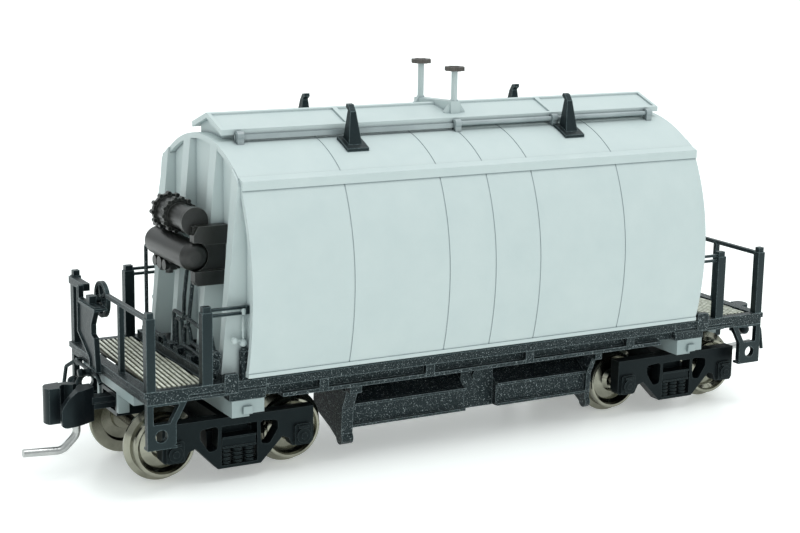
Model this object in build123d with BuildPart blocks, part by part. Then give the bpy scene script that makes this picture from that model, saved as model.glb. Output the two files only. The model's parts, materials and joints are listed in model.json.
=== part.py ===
from build123d import *
import os

os.makedirs("parts", exist_ok=True)

# Model covered-hopper wagon for 9 mm gauge track, in millimetres.
# X runs along the wagon (the brake end is at -X), Y across it (the near side is -Y),
# and Z up from the plane that the wheel flanges stand on.

# Underframe
HALF_LENGTH = 30.0          # end sill face to wagon centre
FRAME_HALF = 8.68           # side sill face to wagon centre
DECK_Z = 8.67
SILL_SPLICE_X = 20.1        # where the side sills meet the end platforms
SILL_BOTTOM_Z = 6.9
PLATFORM_BOTTOM_Z = 7.65
BEAM = 1.05                 # width of the platform's edge beams
CENTRE_SILL_HALF = 1.2
CENTRE_SILL_BOTTOM_Z = 6.2

# Tank body
BODY_HALF_LENGTH = 21.87
BODY_BOTTOM_Z = 8.95
BODY_FOOT_HALF = 9.13
BODY_WIDEST_HALF = 10.05
BODY_WIDEST_Z = 15.4
SHOULDER_LOW = (8.05, 23.45)
SHOULDER_HIGH = (7.6, 24.2)
ROOF_TOP_Z = 26.85
BODY_WALL = 0.45
BAND_PROUD = 0.12
SEAM_XS = (-13.1, -4.4, 0.0, 4.4, 13.1)
END_RECESS = 0.45           # end panel set back inside the body's rim
RIB_CENTRES = (2.7, 7.15)

# Roof hatch
HATCH_HALF_LENGTH = 21.35
HATCH_HALF_WIDTH = 2.95
HATCH_RIDGE_Z = 28.35
HATCH_EAVE_Z = 27.3
HATCH_THICKNESS = 0.28

# Running gear
TRUCK_X = 21.7
WHEELBASE = 11.0
AXLE_Z = 3.05
TREAD_R = 2.55
FLANGE_R = 3.05
WHEEL_BACK_Y = 3.75
WHEEL_FACE_Y = 5.2
AXLE_R = 0.45
JOURNAL_R = 0.32
JOURNAL_TIP_Y = 6.4
SIDEFRAME_IN_Y = 5.95
SIDEFRAME_OUT_Y = 7.1
KINGPIN_R = 0.8
RUNNING_GAP = 0.07

# Body bolster, which the trucks turn under
BOLSTER_HALF_WIDTH = 1.38
BOLSTER_BOTTOM_Z = 5.78
BOLSTER_TOP_Z = 7.12

# Couplers
PIVOT_X = 27.8
DRAFT_BOX_TOP_Z = 6.75
DRAFT_BOX_BOTTOM_Z = 4.95
SHANK_BOTTOM_Z = 5.37
SHANK_SPLIT_Z = 5.85
SHANK_TOP_Z = 6.33
HEAD_BOTTOM_Z = 4.45
HEAD_TOP_Z = 7.4

# Railings
POST_TOP_Z = 14.8
INNER_POST_X = 25.04
RAIL_Z = 14.2
RAIL_SIZE = 0.34


def save(piece, label):
    """Label a finished piece and write it to its own STEP file."""
    piece.label = label
    export_step(piece, f"parts/{label}.step")


def placed(piece, end=1, side=1):
    """Carry a piece drawn at +X, +Y to another end or side by mirroring."""
    if end < 0:
        piece = piece.mirror(Plane.YZ)
    if side < 0:
        piece = piece.mirror(Plane.XZ)
    return piece


def body_outline(inset=0.0):
    """The barrel-sided cross-section, as seen along X, or one inset from it."""
    foot = (BODY_FOOT_HALF, BODY_BOTTOM_Z)
    widest = (BODY_WIDEST_HALF, BODY_WIDEST_Z)
    with BuildSketch() as outline:
        with BuildLine():
            Line((-foot[0], foot[1]), foot)
            lower = TangentArc(widest, foot, tangent=(0, -1))
            upper = TangentArc(widest, SHOULDER_LOW, tangent=(0, 1))
            Line(SHOULDER_LOW, SHOULDER_HIGH)
            ThreePointArc(SHOULDER_HIGH, (0, ROOF_TOP_Z), (-SHOULDER_HIGH[0], SHOULDER_HIGH[1]))
            Line((-SHOULDER_HIGH[0], SHOULDER_HIGH[1]), (-SHOULDER_LOW[0], SHOULDER_LOW[1]))
            mirror(upper, about=Plane.YZ)
            mirror(lower, about=Plane.YZ)
        make_face()
        if inset:
            offset(amount=-inset, mode=Mode.REPLACE)
    return outline.sketch


def body_block(half_length, inset=0.0):
    """A solid bar with the body's cross-section, or one inset from it."""
    with BuildPart() as bar:
        with BuildSketch(Plane.YZ):
            add(body_outline(inset))
        extrude(amount=half_length, both=True)
    return bar.part


BODY_BAR = body_block(BODY_HALF_LENGTH)
BODY_CORE = body_block(BODY_HALF_LENGTH + 1, BODY_WALL)


# ---------------------------------------------------------------- tank body
def make_tank_body():
    """The barrel shell: two walls and a roof in one moulding, open below and at both ends."""
    band_y = SHOULDER_LOW[0] + BAND_PROUD
    eave_y = SHOULDER_HIGH[0] - 0.15
    foot_in = BODY_FOOT_HALF - BODY_WALL
    with BuildPart() as tank_body:
        add(BODY_BAR)
        # seams between the wrapper sheets, as shallow grooves round the outside
        groove = 0.05
        seam_width = 0.11
        for x in SEAM_XS:
            with BuildSketch(Plane.YZ.offset(x - seam_width / 2)):
                add(body_outline(-0.01))
                add(body_outline(groove), mode=Mode.SUBTRACT)
            extrude(amount=seam_width, mode=Mode.SUBTRACT)
        # raised shoulder bands and the lip along the foot
        with BuildSketch(Plane.YZ):
            for side in (1, -1):
                with BuildLine():
                    Polyline(
                        (side * (SHOULDER_LOW[0] - 0.1), SHOULDER_LOW[1]),
                        (side * band_y, SHOULDER_LOW[1]),
                        (side * band_y, SHOULDER_HIGH[1] - 0.05),
                        (side * eave_y, SHOULDER_HIGH[1] + 0.22),
                        close=True,
                    )
                make_face()
                with BuildLine():
                    Polyline(
                        (side * foot_in, BODY_BOTTOM_Z),
                        (side * (BODY_FOOT_HALF + 0.16), BODY_BOTTOM_Z),
                        (side * (BODY_FOOT_HALF + 0.16), BODY_BOTTOM_Z + 0.3),
                        (side * foot_in, BODY_BOTTOM_Z + 0.3),
                        close=True,
                    )
                make_face()
        extrude(amount=BODY_HALF_LENGTH, both=True)
        # hollow it, and open the bottom
        add(BODY_CORE, mode=Mode.SUBTRACT)
        with BuildSketch(Plane.XY.offset(BODY_BOTTOM_Z - 0.5)):
            Rectangle(2 * BODY_HALF_LENGTH + 2, 2 * foot_in)
        extrude(amount=1.5, mode=Mode.SUBTRACT)
    return tank_body.part


def make_bulkhead():
    """End panel with four tapered hat-section stakes, drawn for the +X end."""
    panel_x = BODY_HALF_LENGTH - END_RECESS
    foot_depth = 2.0
    top_depth = 0.35
    root_half = 0.78
    front_half = 0.36
    gap = 0.03
    with BuildPart() as stakes:
        for y in RIB_CENTRES:
            # The stake stands out furthest at its foot.
            with BuildSketch(Plane.XZ.offset(-y)) as side_view:
                with BuildLine():
                    Polyline(
                        (panel_x - 0.1, BODY_BOTTOM_Z),
                        (panel_x + foot_depth, BODY_BOTTOM_Z),
                        (panel_x + top_depth + 0.15, ROOF_TOP_Z - 0.9),
                        (panel_x + top_depth, ROOF_TOP_Z),
                        (panel_x - 0.1, ROOF_TOP_Z),
                        close=True,
                    )
                make_face()
            extrude(amount=root_half, both=True)
        with BuildSketch(Plane.XY.offset(BODY_BOTTOM_Z)):
            for y in RIB_CENTRES:
                with BuildLine():
                    Polyline(
                        (panel_x - 0.1, y - root_half),
                        (panel_x + foot_depth, y - front_half),
                        (panel_x + foot_depth, y + front_half),
                        (panel_x - 0.1, y + root_half),
                        close=True,
                    )
                make_face()
        extrude(amount=20, mode=Mode.INTERSECT)
        mirror(about=Plane.XZ)
        add(body_block(BODY_HALF_LENGTH + 3, 0.06), mode=Mode.INTERSECT)
    with BuildPart() as ring:
        add(body_block(BODY_HALF_LENGTH, -0.5))
        add(body_block(BODY_HALF_LENGTH + 1, BODY_WALL + gap), mode=Mode.SUBTRACT)
    with BuildPart() as bulkhead:
        with BuildSketch(Plane.YZ.offset(panel_x - 0.8)):
            add(body_outline(BODY_WALL + gap))
        extrude(amount=0.8)
        add(stakes.part)
        add(ring.part, mode=Mode.SUBTRACT)
    return bulkhead.part


def make_floor_plate():
    """Floor that closes the body's open bottom; the shell's foot stands on its rim."""
    step_half = BODY_FOOT_HALF - BODY_WALL - 0.05
    rim_x = BODY_HALF_LENGTH - END_RECESS
    with BuildPart() as floor_plate:
        with BuildSketch(Plane.XY.offset(DECK_Z)):
            Rectangle(2 * rim_x, 2 * (BODY_FOOT_HALF - 0.25))
        extrude(amount=BODY_BOTTOM_Z - DECK_Z)
        with BuildSketch(Plane.XY.offset(BODY_BOTTOM_Z)):
            Rectangle(2 * (rim_x - 0.85), 2 * step_half)
        extrude(amount=0.4)
    return floor_plate.part


def make_ballast_weight():
    """Steel weight plate that lies on the floor inside the body."""
    with BuildPart() as ballast_weight:
        with BuildSketch(Plane.XY.offset(BODY_BOTTOM_Z + 0.4)):
            RectangleRounded(36, 15, 0.8)
        extrude(amount=1.6)
    return ballast_weight.part


# ---------------------------------------------------------------- roof hatch
def hatch_section(lift=0.0, half_width=HATCH_HALF_WIDTH):
    """The shallow inverted V of the hatch cover, as seen along X."""
    with BuildSketch() as section:
        with BuildLine():
            Polyline(
                (-half_width, HATCH_EAVE_Z - HATCH_THICKNESS),
                (0, HATCH_RIDGE_Z - HATCH_THICKNESS),
                (half_width, HATCH_EAVE_Z - HATCH_THICKNESS),
                (half_width, HATCH_EAVE_Z + lift),
                (0, HATCH_RIDGE_Z + lift),
                (-half_width, HATCH_EAVE_Z + lift),
                close=True,
            )
        make_face()
    return section.sketch


def make_hatch_cover():
    """Long roof cover with a raised lip all round and two cross bars."""
    lip = 0.16
    lip_width = 0.3
    bar_x = 10.0
    bar_half = 0.22
    with BuildPart() as lips:
        with BuildSketch(Plane.YZ):
            add(hatch_section(lip))
        extrude(amount=HATCH_HALF_LENGTH, both=True)
        with BuildSketch(Plane.XY.offset(HATCH_EAVE_Z - 1)):
            Rectangle(2 * HATCH_HALF_LENGTH, 2 * HATCH_HALF_WIDTH)
            with Locations((0, HATCH_HALF_WIDTH / 2), (0, -HATCH_HALF_WIDTH / 2)):
                Rectangle(
                    2 * (HATCH_HALF_LENGTH - lip_width),
                    HATCH_HALF_WIDTH - 1.5 * lip_width,
                    mode=Mode.SUBTRACT,
                )
            with Locations((bar_x, 0), (-bar_x, 0)):
                Rectangle(2 * bar_half, 2 * HATCH_HALF_WIDTH)
        extrude(amount=3, mode=Mode.INTERSECT)
    with BuildPart() as hatch_cover:
        with BuildSketch(Plane.YZ):
            add(hatch_section())
        extrude(amount=HATCH_HALF_LENGTH, both=True)
        add(lips.part)
    return hatch_cover.part


def make_hatch_coaming():
    """Upright walls and end legs that carry the cover above the curved roof."""
    half_width = 2.15
    half_length = 20.9
    wall = 0.4
    with BuildPart() as hatch_coaming:
        with BuildSketch(Plane.XY.offset(ROOF_TOP_Z - 1)):
            Rectangle(2 * half_length, 2 * half_width)
            Rectangle(2 * (half_length - wall), 2 * (half_width - wall), mode=Mode.SUBTRACT)
            with Locations((half_length - 2.2, 0), (2.2 - half_length, 0), (7, 0), (-7, 0), (0, 0)):
                Rectangle(wall, 2 * half_width)
        extrude(amount=3)
        add(BODY_BAR, mode=Mode.SUBTRACT)
        # trim the tops to the underside of the cover
        with BuildSketch(Plane.YZ):
            with BuildLine():
                Polyline(
                    (-4, HATCH_RIDGE_Z - HATCH_THICKNESS - 4 * (HATCH_RIDGE_Z - HATCH_EAVE_Z) / HATCH_HALF_WIDTH),
                    (0, HATCH_RIDGE_Z - HATCH_THICKNESS),
                    (4, HATCH_RIDGE_Z - HATCH_THICKNESS - 4 * (HATCH_RIDGE_Z - HATCH_EAVE_Z) / HATCH_HALF_WIDTH),
                    (4, 31),
                    (-4, 31),
                    close=True,
                )
            make_face()
        extrude(amount=25, both=True, mode=Mode.SUBTRACT)
    return hatch_coaming.part


def make_latch_bar():
    """Latching bar for the -Y eave: a flat strip for half its length and a rod for the rest."""
    bar_y = -3.3
    bar_z = 26.98
    rod_r = 0.2
    reach = 20.3
    clamp_xs = (-19.95, 0.0, 9.8, 19.95)
    with BuildPart() as latch_bar:
        with BuildSketch(Plane.YZ):
            with Locations((bar_y, bar_z)):
                Circle(rod_r)
        extrude(amount=reach)
        with BuildSketch(Plane.YZ.offset(-reach)):
            with Locations((bar_y + 0.12, bar_z - 0.14)):
                Rectangle(0.22, 0.4)
        extrude(amount=reach)
        # bearing blocks, which stand on the roof
        for x in clamp_xs:
            with BuildSketch(Plane.YZ.offset(x - 0.28)):
                with Locations((bar_y, bar_z)):
                    Circle(0.38)
                with Locations((bar_y, bar_z - 0.5)):
                    Rectangle(0.6, 1.0)
            extrude(amount=0.56)
        add(BODY_BAR, mode=Mode.SUBTRACT)
    return latch_bar.part


# x, y and top height of the two vent posts
VENT_POSTS = ((0.64, -1.68, 31.25), (-0.70, 1.68, 31.65))


def make_vent_stand(hatch_cover):
    """Cross bar on the cover with two posts, each stiffened by triangular gussets."""
    base_z = HATCH_RIDGE_Z + 0.35
    with BuildPart() as vent_stand:
        with BuildSketch(Plane.XY.offset(HATCH_EAVE_Z)):
            with BuildLine():
                Polyline(
                    (VENT_POSTS[0][0] - 0.45, VENT_POSTS[0][1] - 0.3),
                    (VENT_POSTS[0][0] + 0.45, VENT_POSTS[0][1] - 0.3),
                    (VENT_POSTS[1][0] + 0.45, VENT_POSTS[1][1] + 0.3),
                    (VENT_POSTS[1][0] - 0.45, VENT_POSTS[1][1] + 0.3),
                    close=True,
                )
            make_face()
        extrude(amount=base_z - HATCH_EAVE_Z)
        for x, y, top_z in VENT_POSTS:
            with BuildSketch(Plane.XY.offset(HATCH_EAVE_Z)):
                with Locations((x, y)):
                    Circle(0.26)
            extrude(amount=top_z - HATCH_EAVE_Z)
            with BuildSketch(Plane.XZ.offset(-y)):
                with BuildLine():
                    Polyline(
                        (x - 1.0, HATCH_EAVE_Z),
                        (x + 1.0, HATCH_EAVE_Z),
                        (x + 1.0, HATCH_EAVE_Z + 0.5),
                        (x + 0.2, HATCH_EAVE_Z + 1.6),
                        (x - 0.2, HATCH_EAVE_Z + 1.6),
                        (x - 1.0, HATCH_EAVE_Z + 0.5),
                        close=True,
                    )
                make_face()
            extrude(amount=0.16, both=True)
        # cut the underside to the cover's slopes and its ridge strip
        with BuildSketch(Plane.YZ):
            with BuildLine():
                Polyline(
                    (-HATCH_HALF_WIDTH, HATCH_EAVE_Z - 1),
                    (-HATCH_HALF_WIDTH, HATCH_EAVE_Z),
                    (0, HATCH_RIDGE_Z),
                    (HATCH_HALF_WIDTH, HATCH_EAVE_Z),
                    (HATCH_HALF_WIDTH, HATCH_EAVE_Z - 1),
                    close=True,
                )
            make_face()
        extrude(amount=3, both=True, mode=Mode.SUBTRACT)
        add(hatch_cover, mode=Mode.SUBTRACT)
    return vent_stand.part


def make_vent_wheel(x, y, foot_z):
    """Small hand wheel with a lobed rim, on top of a vent post."""
    with BuildPart() as vent_wheel:
        with BuildSketch(Plane.XY.offset(foot_z)):
            with Locations((x, y)):
                Circle(0.72)
                with PolarLocations(0.68, 8):
                    Circle(0.18)
        extrude(amount=0.34)
        with BuildSketch(Plane.XY.offset(foot_z + 0.34)):
            with Locations((x, y)):
                Circle(0.5)
        extrude(amount=-0.14, mode=Mode.SUBTRACT)
        with BuildSketch(Plane.XY.offset(foot_z)):
            with Locations((x, y)):
                Circle(0.2)
        extrude(amount=0.38)
    return vent_wheel.part


def make_roof_hook():
    """Lifting horn on the roof's slope, with a flanged base and a hooked tip."""
    hook_x = 10.55
    hook_y = 4.6
    foot_z = 24.6
    with BuildPart() as roof_hook:
        # thin flange that follows the roof's curve
        add(body_block(hook_x + 1.0, -0.24))
        with BuildSketch(Plane.XY.offset(foot_z)):
            with Locations((hook_x, hook_y)):
                Rectangle(1.95, 1.95)
        extrude(amount=2, mode=Mode.INTERSECT)
        with BuildSketch(Plane.XY.offset(25.4)):
            with Locations((hook_x, hook_y - 0.1)):
                Rectangle(1.35, 1.35)
        with BuildSketch(Plane.XY.offset(28.6)):
            with Locations((hook_x, hook_y - 0.25)):
                Rectangle(0.52, 0.5)
        loft()
        # the hooked tip leans back over the roof
        with BuildSketch(Plane.YZ.offset(hook_x - 0.26)):
            with BuildLine():
                Polyline(
                    (hook_y - 0.02, 28.3),
                    (hook_y - 0.02, 28.62),
                    (hook_y - 0.42, 29.15),
                    (hook_y - 0.75, 29.2),
                    (hook_y - 0.82, 28.95),
                    (hook_y - 0.48, 28.7),
                    (hook_y - 0.48, 28.3),
                    close=True,
                )
            make_face()
        extrude(amount=0.52)
        add(BODY_BAR, mode=Mode.SUBTRACT)
    return roof_hook.part


# ---------------------------------------------------------------- underframe
def make_main_frame():
    """Centre sill, the two body bolsters and the end strikers, in one grey casting."""
    raised_from_x = TRUCK_X + 4.3
    with BuildPart() as main_frame:
        with BuildSketch(Plane.XY.offset(CENTRE_SILL_BOTTOM_Z)):
            Rectangle(2 * raised_from_x, 2 * CENTRE_SILL_HALF)
        extrude(amount=PLATFORM_BOTTOM_Z - CENTRE_SILL_BOTTOM_Z)
        with BuildSketch(Plane.XY.offset(DRAFT_BOX_TOP_Z)):
            Rectangle(2 * (HALF_LENGTH - 0.9), 2 * CENTRE_SILL_HALF)
        extrude(amount=PLATFORM_BOTTOM_Z - DRAFT_BOX_TOP_Z)
        for end in (1, -1):
            # body bolster, full width, with a small lug on each outer face
            with BuildSketch(Plane.XY.offset(BOLSTER_BOTTOM_Z)):
                with Locations((end * TRUCK_X, 0)):
                    Rectangle(2 * BOLSTER_HALF_WIDTH, 2 * (FRAME_HALF + 0.08))
            extrude(amount=BOLSTER_TOP_Z - BOLSTER_BOTTOM_Z)
            with BuildSketch(Plane.XY.offset(BOLSTER_BOTTOM_Z + 0.25)):
                with Locations((end * (TRUCK_X + 0.1), 0)):
                    Rectangle(0.75, 2 * (FRAME_HALF + 0.32))
            extrude(amount=0.6)
            with BuildSketch(Plane.XY.offset(BOLSTER_BOTTOM_Z)):
                with Locations(
                    (end * TRUCK_X + 0.75, FRAME_HALF),
                    (end * TRUCK_X + 0.75, -FRAME_HALF),
                ):
                    Rectangle(1.3, 1.2)
            extrude(amount=0.22, mode=Mode.SUBTRACT)
            # striker plate with an arch for the coupler
            with BuildSketch(Plane.YZ.offset(end * (HALF_LENGTH - 0.45))):
                with BuildLine():
                    Polyline(
                        (-5.8, PLATFORM_BOTTOM_Z),
                        (-5.8, 6.9),
                        (-2.45, 6.9),
                        (-2.45, 5.35),
                        (-2.0, 5.35),
                        (-2.0, 7.0),
                        (2.0, 7.0),
                        (2.0, 5.35),
                        (2.45, 5.35),
                        (2.45, 6.9),
                        (5.8, 6.9),
                        (5.8, PLATFORM_BOTTOM_Z),
                        close=True,
                    )
                make_face()
            extrude(amount=0.45, both=True)
            # king-pin hole
            with BuildSketch(Plane.XY.offset(BOLSTER_BOTTOM_Z)):
                with Locations((end * TRUCK_X, 0)):
                    Circle(KINGPIN_R)
            extrude(amount=BOLSTER_TOP_Z - BOLSTER_BOTTOM_Z, mode=Mode.SUBTRACT)
    return main_frame.part


def make_hopper_bottom():
    """Sloped discharge trough under the floor, astride the centre sill."""
    half_length = 12.3
    with BuildPart() as hopper_bottom:
        with BuildSketch(Plane.YZ):
            with BuildLine():
                Polyline(
                    (-7.3, DECK_Z),
                    (-3.9, 6.5),
                    (3.9, 6.5),
                    (7.3, DECK_Z),
                    close=True,
                )
            make_face()
            with Locations((0, 7)):
                Rectangle(2 * CENTRE_SILL_HALF, 2 * (PLATFORM_BOTTOM_Z - 7), mode=Mode.SUBTRACT)
        extrude(amount=half_length, both=True)
    return hopper_bottom.part


SILL_TABS = (-15.0, -5.2, 4.6, 15.2)


def make_side_sill(side):
    """Side sill: a deep channel with tabs across its recess and a lower rail."""
    web_y = FRAME_HALF - 0.55
    inner_y = FRAME_HALF - 1.1
    rail_half_length = 18.6
    with BuildPart() as side_sill:
        with BuildSketch(Plane.YZ):
            with BuildLine():
                Polyline(
                    (inner_y, DECK_Z),
                    (FRAME_HALF, DECK_Z),
                    (FRAME_HALF, 7.95),
                    (web_y, 7.95),
                    (web_y, 7.15),
                    (inner_y, 7.15),
                    close=True,
                )
            make_face()
        extrude(amount=SILL_SPLICE_X, both=True)
        with BuildSketch(Plane.YZ):
            with BuildLine():
                Polyline(
                    (inner_y, 7.2),
                    (FRAME_HALF - 0.08, 7.2),
                    (FRAME_HALF - 0.08, SILL_BOTTOM_Z),
                    (inner_y, SILL_BOTTOM_Z),
                    close=True,
                )
            make_face()
        extrude(amount=rail_half_length, both=True)
        for x in SILL_TABS:
            with BuildSketch(Plane.XY.offset(SILL_BOTTOM_Z)):
                with Locations((x, FRAME_HALF - 0.35)):
                    Rectangle(0.8, 0.6)
            extrude(amount=DECK_Z - 0.6 - SILL_BOTTOM_Z)
    return placed(side_sill.part, side=side)


def make_gates(side):
    """Two discharge gates on one side, their end hinges and the plate between them."""
    outer_y = 6.3
    gate_runs = ((-11.35, -0.45), (2.75, 11.95))
    hinge_runs = ((-12.4, -11.35), (11.95, 12.4))
    lug_r = 0.55
    with BuildPart() as gates:
        for start, stop in gate_runs:
            with BuildSketch(Plane.YZ.offset(start)):
                with BuildLine():
                    Polyline(
                        (1.5, 6.2),
                        (1.5, 3.7),
                        (4.6, 2.75),
                        (outer_y, 2.75),
                        (outer_y, 4.75),
                        (4.3, 6.2),
                        close=True,
                    )
                make_face()
            extrude(amount=stop - start)
            # stiffening angles along the top and the foot of the door
            with BuildSketch(Plane.YZ.offset(start)):
                with Locations((outer_y, 4.7), (outer_y, 2.9)):
                    Rectangle(0.6, 0.22)
            extrude(amount=stop - start)
        for start, stop in hinge_runs:
            with BuildSketch(Plane.YZ.offset(start)):
                with BuildLine():
                    Polyline(
                        (1.5, 6.2),
                        (1.5, 3.5),
                        (4.6, 2.4),
                        (6.0, 1.7),
                        (6.6, 2.2),
                        (6.75, 4.6),
                        (7.5, 6.2),
                        close=True,
                    )
                make_face()
                with Locations((6.25, 1.95)):
                    Circle(lug_r)
            extrude(amount=stop - start)
        # plate with a round latch bolt between the gates
        with BuildSketch(Plane.YZ.offset(gate_runs[0][1])):
            with Locations((5.1, 4.45)):
                Rectangle(1.2, 3.5)
        extrude(amount=gate_runs[1][0] - gate_runs[0][1])
        with BuildSketch(Plane.XZ.offset(-5.7)):
            with Locations((1.0, 5.6)):
                Circle(0.45)
        extrude(amount=-0.3)
        # hangers up to the trough and the side sill
        with BuildSketch(Plane.XY.offset(6.2)):
            with Locations((-6, 2.6), (7, 2.6)):
                Rectangle(9, 2.2)
        extrude(amount=0.3)
        with BuildSketch(Plane.XY.offset(6.2)):
            with Locations(((hinge_runs[0][0] + hinge_runs[0][1]) / 2, 7.7)):
                Rectangle(1.05, 0.9)
            with Locations(((hinge_runs[1][0] + hinge_runs[1][1]) / 2, 7.7)):
                Rectangle(0.65, 0.9)
        extrude(amount=SILL_BOTTOM_Z - 6.2)
    part = gates.part
    return part if side > 0 else part.mirror(Plane.XZ)


def make_platform(end):
    """End platform: an open frame of edge beams with a stringer down the middle."""
    deck_recess = 0.27
    tread_from = 25.1
    stringer_half = 1.1
    with BuildPart() as platform:
        with BuildSketch(Plane.XY.offset(PLATFORM_BOTTOM_Z)):
            with Locations(((SILL_SPLICE_X + HALF_LENGTH) / 2, 0)):
                Rectangle(HALF_LENGTH - SILL_SPLICE_X, 2 * FRAME_HALF)
            # the opening over which the tread plates lie
            with Locations(
                ((tread_from + HALF_LENGTH - 0.7) / 2, (FRAME_HALF - BEAM + stringer_half) / 2),
                ((tread_from + HALF_LENGTH - 0.7) / 2, -(FRAME_HALF - BEAM + stringer_half) / 2),
            ):
                Rectangle(HALF_LENGTH - 0.7 - tread_from, FRAME_HALF - BEAM - stringer_half, mode=Mode.SUBTRACT)
        extrude(amount=DECK_Z - PLATFORM_BOTTOM_Z)
        # recess for the floor and for the tread plate
        with BuildSketch(Plane.XY.offset(DECK_Z)):
            with Locations(((tread_from - 0.4 + HALF_LENGTH - 0.7) / 2, 0)):
                Rectangle(HALF_LENGTH - 0.7 - tread_from + 0.4, 2 * (FRAME_HALF - BEAM + 0.35))
        extrude(amount=-deck_recess, mode=Mode.SUBTRACT)
        # pads that sit on the body bolster
        with BuildSketch(Plane.XY.offset(BOLSTER_TOP_Z)):
            with Locations((TRUCK_X, FRAME_HALF - 0.55), (TRUCK_X, -FRAME_HALF + 0.55)):
                Rectangle(2 * BOLSTER_HALF_WIDTH + 0.3, 1.1)
        extrude(amount=PLATFORM_BOTTOM_Z - BOLSTER_TOP_Z)
        # flange grooves along the edge beams
        for side in (1, -1):
            with BuildSketch(Plane.YZ.offset(SILL_SPLICE_X)):
                with Locations((side * FRAME_HALF, 7.98)):
                    Rectangle(0.24, 0.2)
            extrude(amount=6.5, mode=Mode.SUBTRACT)
        # upright tab plates on the faces of the edge beams, with rounded corners
        with BuildSketch(Plane.XZ.offset(-FRAME_HALF - 0.15)):
            with Locations((23.1, 8.57)):
                RectangleRounded(1.2, 1.56, 0.18)
        extrude(amount=0.45)
        with BuildSketch(Plane.XZ.offset(FRAME_HALF + 0.15)):
            with Locations((23.1, 8.57)):
                RectangleRounded(1.2, 1.56, 0.18)
        extrude(amount=-0.45)
        # outer lip of the end beam
        with BuildSketch(Plane.YZ.offset(HALF_LENGTH)):
            with Locations((0, DECK_Z - 0.22)):
                Rectangle(2 * FRAME_HALF, 0.44)
        extrude(amount=0.22)
    return placed(platform.part, end=end)


def make_tread_plate(end):
    """Tread plate with parallel ribs across the wagon, lying in the platform's recess."""
    from_x = 24.85
    to_x = HALF_LENGTH - 1.15
    half_width = FRAME_HALF - BEAM + 0.25
    rib_step = 0.4
    rib_width = 0.2
    rib_slant = 4
    base = 0.14
    plate_z = DECK_Z - 0.27
    with BuildPart() as ribs:
        with BuildSketch(Plane.XY.offset(plate_z + base)):
            for k in range(-7, 8):
                with Locations(Location((0.5 * (from_x + to_x) + k * rib_step, 0, 0), (0, 0, 1), rib_slant)):
                    Rectangle(rib_width, 17)
        extrude(amount=0.16)
        with BuildSketch(Plane.XY.offset(plate_z)):
            with Locations(((from_x + to_x) / 2, 0)):
                Rectangle(to_x - from_x - 0.16, 2 * half_width - 0.16)
        extrude(amount=1, mode=Mode.INTERSECT)
    with BuildPart() as tread_plate:
        with BuildSketch(Plane.XY.offset(plate_z)):
            with Locations(((from_x + to_x) / 2, 0)):
                Rectangle(to_x - from_x, 2 * half_width)
        extrude(amount=base)
        add(ribs.part)
    return placed(tread_plate.part, end=end)


def make_step(end, side):
    """Corner step hung from the platform's edge beam, with two windows and a foot tread."""
    inner_y = FRAME_HALF - 0.5
    with BuildPart() as step:
        with BuildSketch(Plane.XZ.offset(-FRAME_HALF)):
            with BuildLine():
                Polyline(
                    (HALF_LENGTH, PLATFORM_BOTTOM_Z),
                    (26.75, PLATFORM_BOTTOM_Z),
                    (27.65, 6.0),
                    (27.65, 4.4),
                    (27.9, 4.15),
                    (HALF_LENGTH, 4.15),
                    close=True,
                )
            make_face()
            with BuildLine():
                Polyline(
                    (29.5, 7.5),
                    (27.35, 7.5),
                    (28.15, 6.05),
                    (29.5, 6.05),
                    close=True,
                )
            make_face(mode=Mode.SUBTRACT)
            with Locations((28.85, 5.1)):
                Circle(0.5, mode=Mode.SUBTRACT)
        extrude(amount=FRAME_HALF - inner_y)
        with BuildSketch(Plane.XY.offset(4.05)):
            with Locations((28.8, FRAME_HALF - 0.38)):
                Rectangle(2.4, 0.76)
        extrude(amount=0.2)
    return placed(step.part, end=end, side=side)


# ---------------------------------------------------------------- railings
def post_block(x, y, top_z, width_x=0.72, width_y=0.72):
    """A railing post with a narrower head."""
    with BuildPart() as post:
        with BuildSketch(Plane.XY.offset(DECK_Z)):
            with Locations((x, y)):
                Rectangle(width_x, width_y)
        extrude(amount=top_z - 0.45 - DECK_Z)
        with BuildSketch(Plane.XY.offset(top_z - 0.45)):
            with Locations((x, y)):
                Rectangle(width_x - 0.18, width_y - 0.18)
        extrude(amount=0.45)
    return post.part


CORNER_POST = (HALF_LENGTH - 0.36, FRAME_HALF - 0.36)
BALUSTER_Y = 2.3


def make_end_rail_plain():
    """End railing of the plain end: two corner posts, top rail and two balusters."""
    with BuildPart() as end_rail:
        for side in (1, -1):
            add(post_block(CORNER_POST[0], side * CORNER_POST[1], POST_TOP_Z))
            with BuildSketch(Plane.XY.offset(DECK_Z)):
                with Locations((CORNER_POST[0], side * BALUSTER_Y)):
                    Rectangle(0.42, 0.42)
            extrude(amount=RAIL_Z - DECK_Z)
        with BuildSketch(Plane.XZ.offset(-CORNER_POST[1])):
            with Locations((CORNER_POST[0], RAIL_Z)):
                Rectangle(RAIL_SIZE, RAIL_SIZE)
        extrude(amount=2 * CORNER_POST[1])
    return end_rail.part


def make_end_rail_brake():
    """End railing of the brake end: near corner post, rail as far as the brake stand, baluster."""
    rail_end_y = 0.55
    with BuildPart() as end_rail:
        add(post_block(CORNER_POST[0], CORNER_POST[1], POST_TOP_Z))
        with BuildSketch(Plane.XY.offset(DECK_Z)):
            with Locations((CORNER_POST[0], BALUSTER_Y)):
                Rectangle(0.42, 0.42)
        extrude(amount=RAIL_Z - DECK_Z)
        with BuildSketch(Plane.XZ.offset(-CORNER_POST[1])):
            with Locations((CORNER_POST[0], RAIL_Z)):
                Rectangle(RAIL_SIZE, RAIL_SIZE)
        extrude(amount=CORNER_POST[1] + rail_end_y)
    return placed(end_rail.part, end=-1, side=-1)


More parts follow.
